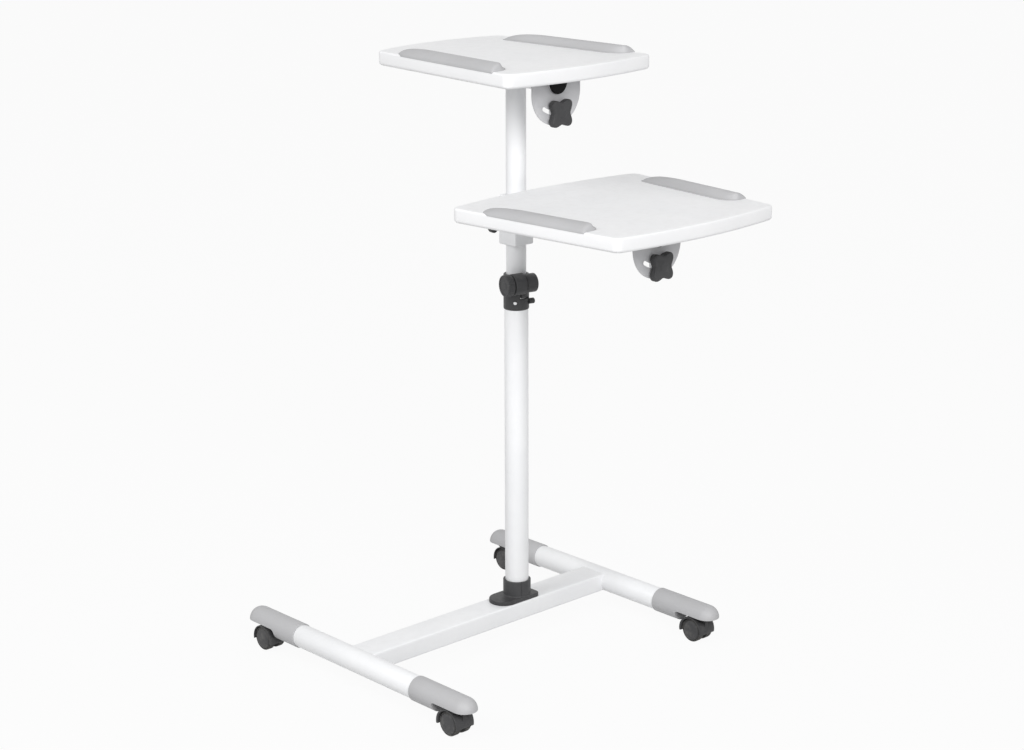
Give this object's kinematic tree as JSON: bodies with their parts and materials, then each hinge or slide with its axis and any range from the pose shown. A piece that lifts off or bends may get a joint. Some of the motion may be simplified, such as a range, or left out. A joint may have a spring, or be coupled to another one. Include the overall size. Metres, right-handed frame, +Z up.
{
  "type": "mobile audio visual cart",
  "caption": "Mobile audio visual cart: H base on twin-wheel casters, telescopic column with clamp, two tilting trays with side lips and lobed knobs.",
  "frame": {"origin": "on the floor under the middle of the cart's bounding box", "axes": "+Z up, -Y towards the user who stands at the lower tray, +X to that user's right"},
  "size_m": [0.7396, 0.8634, 1.256],
  "materials": {
    "white_metal": "satin",
    "white_board": "satin",
    "grey_plastic": "satin",
    "grey_metal": "satin",
    "black_plastic": "satin",
    "steel": "brushed"
  },
  "bodies": {
    "cart": {"side_tube_left": "white_metal", "side_tube_right": "white_metal", "cross_beam": "white_metal", "end_cap_front_left": "grey_plastic", "end_cap_front_right": "grey_plastic", "end_cap_rear_left": "grey_plastic", "end_cap_rear_right": "grey_plastic", "column_foot": "black_plastic", "outer_column": "white_metal", "guide_bush": "black_plastic", "clamp_collar": "black_plastic", "clamp_nut": "steel", "clamp_screw": "steel", "stop_pin": "black_plastic"},
    "mast": {"inner_column": "white_metal", "head_tube": "white_metal", "head_cap_front": "black_plastic", "head_cap_rear": "black_plastic", "upper_tilt_lug": "white_metal", "upper_tilt_bolt": "steel"},
    "sleeve": {"sleeve_block": "white_metal", "lower_arm": "white_metal", "arm_cap": "black_plastic", "lower_tilt_lug": "white_metal", "lower_tilt_bolt": "steel"},
    "lower_tray_body": {"lower_tray": "white_board", "lower_tray_lip_left": "grey_plastic", "lower_tray_lip_right": "grey_plastic", "lower_tray_plate_front": "grey_metal", "lower_tray_plate_rear": "grey_metal"},
    "upper_tray_body": {"upper_tray": "white_board", "upper_tray_lip_left": "grey_plastic", "upper_tray_lip_right": "grey_plastic", "upper_tray_plate_front": "grey_metal", "upper_tray_plate_rear": "grey_metal"},
    "clamp_knob_body": {"clamp_knob": "black_plastic"},
    "sleeve_knob_body": {"sleeve_knob": "black_plastic"},
    "lower_knob_body": {"lower_tilt_knob": "black_plastic"},
    "upper_knob_body": {"upper_tilt_knob": "black_plastic"},
    "swivel_front_left": {"caster_fork_front_left": "black_plastic", "caster_axle_front_left": "steel"},
    "wheel_front_left_outer": {"caster_wheel_front_left_outer": "black_plastic"},
    "wheel_front_left_inner": {"caster_wheel_front_left_inner": "black_plastic"},
    "swivel_rear_left": {"caster_fork_rear_left": "black_plastic", "caster_axle_rear_left": "steel"},
    "wheel_rear_left_outer": {"caster_wheel_rear_left_outer": "black_plastic"},
    "wheel_rear_left_inner": {"caster_wheel_rear_left_inner": "black_plastic"},
    "swivel_front_right": {"caster_fork_front_right": "black_plastic", "caster_axle_front_right": "steel"},
    "wheel_front_right_outer": {"caster_wheel_front_right_outer": "black_plastic"},
    "wheel_front_right_inner": {"caster_wheel_front_right_inner": "black_plastic"},
    "swivel_rear_right": {"caster_fork_rear_right": "black_plastic", "caster_axle_rear_right": "steel"},
    "wheel_rear_right_outer": {"caster_wheel_rear_right_outer": "black_plastic"},
    "wheel_rear_right_inner": {"caster_wheel_rear_right_inner": "black_plastic"}
  },
  "joints": [
    {"name": "mast_slide", "type": "slide", "parent": "cart", "child": "mast", "axis": [0, 0, 1], "range_m": [-0.03, 0.25]},
    {"name": "sleeve_slide", "type": "slide", "parent": "mast", "child": "sleeve", "axis": [0, 0, 1], "range_m": [-0.015, 0.08]},
    {"name": "lower_tray_tilt", "type": "hinge", "parent": "sleeve", "child": "lower_tray_body", "pos_m": [0.0986, -0.30575, 0.9335], "axis": [0, 1, 0], "range_deg": [-30, 30]},
    {"name": "upper_tray_tilt", "type": "hinge", "parent": "mast", "child": "upper_tray_body", "pos_m": [0.0986, -0.02575, 1.1965], "axis": [0, 1, 0], "range_deg": [-30, 30]},
    {"name": "clamp_knob_turn", "type": "hinge", "parent": "cart", "child": "clamp_knob_body", "pos_m": [0.05981, 0.06282, 0.775], "axis": [0.9703, -0.2419, 0], "range_deg": [0, 360]},
    {"name": "sleeve_knob_turn", "type": "hinge", "parent": "sleeve", "child": "sleeve_knob_body", "pos_m": [0.0986, 0.11525, 0.888], "axis": [0, 1, 0], "range_deg": [0, 360]},
    {"name": "lower_tilt_knob_turn", "type": "hinge", "parent": "sleeve", "child": "lower_knob_body", "pos_m": [0.0986, -0.30575, 0.8735], "axis": [0, 1, 0], "range_deg": [0, 360]},
    {"name": "upper_tilt_knob_turn", "type": "hinge", "parent": "mast", "child": "upper_knob_body", "pos_m": [0.0986, -0.02575, 1.1365], "axis": [0, 1, 0], "range_deg": [0, 360]},
    {"name": "swivel_turn_front_left", "type": "hinge", "parent": "cart", "child": "swivel_front_left", "pos_m": [-0.344, -0.23075, 0.05829], "axis": [0, 0, 1], "continuous": true},
    {"name": "wheel_spin_front_left_outer", "type": "hinge", "parent": "swivel_front_left", "child": "wheel_front_left_outer", "pos_m": [-0.344, -0.20875, 0.02469], "axis": [1, 0, 0], "continuous": true},
    {"name": "wheel_spin_front_left_inner", "type": "hinge", "parent": "swivel_front_left", "child": "wheel_front_left_inner", "pos_m": [-0.344, -0.20875, 0.02469], "axis": [1, 0, 0], "continuous": true},
    {"name": "swivel_turn_rear_left", "type": "hinge", "parent": "cart", "child": "swivel_rear_left", "pos_m": [-0.344, 0.40125, 0.05829], "axis": [0, 0, 1], "continuous": true},
    {"name": "wheel_spin_rear_left_outer", "type": "hinge", "parent": "swivel_rear_left", "child": "wheel_rear_left_outer", "pos_m": [-0.344, 0.37925, 0.02469], "axis": [1, 0, 0], "continuous": true},
    {"name": "wheel_spin_rear_left_inner", "type": "hinge", "parent": "swivel_rear_left", "child": "wheel_rear_left_inner", "pos_m": [-0.344, 0.37925, 0.02469], "axis": [1, 0, 0], "continuous": true},
    {"name": "swivel_turn_front_right", "type": "hinge", "parent": "cart", "child": "swivel_front_right", "pos_m": [0.344, -0.23075, 0.05829], "axis": [0, 0, 1], "continuous": true},
    {"name": "wheel_spin_front_right_outer", "type": "hinge", "parent": "swivel_front_right", "child": "wheel_front_right_outer", "pos_m": [0.344, -0.20875, 0.02469], "axis": [1, 0, 0], "continuous": true},
    {"name": "wheel_spin_front_right_inner", "type": "hinge", "parent": "swivel_front_right", "child": "wheel_front_right_inner", "pos_m": [0.344, -0.20875, 0.02469], "axis": [1, 0, 0], "continuous": true},
    {"name": "swivel_turn_rear_right", "type": "hinge", "parent": "cart", "child": "swivel_rear_right", "pos_m": [0.344, 0.40125, 0.05829], "axis": [0, 0, 1], "continuous": true},
    {"name": "wheel_spin_rear_right_outer", "type": "hinge", "parent": "swivel_rear_right", "child": "wheel_rear_right_outer", "pos_m": [0.344, 0.37925, 0.02469], "axis": [1, 0, 0], "continuous": true},
    {"name": "wheel_spin_rear_right_inner", "type": "hinge", "parent": "swivel_rear_right", "child": "wheel_rear_right_inner", "pos_m": [0.344, 0.37925, 0.02469], "axis": [1, 0, 0], "continuous": true}
  ]
}
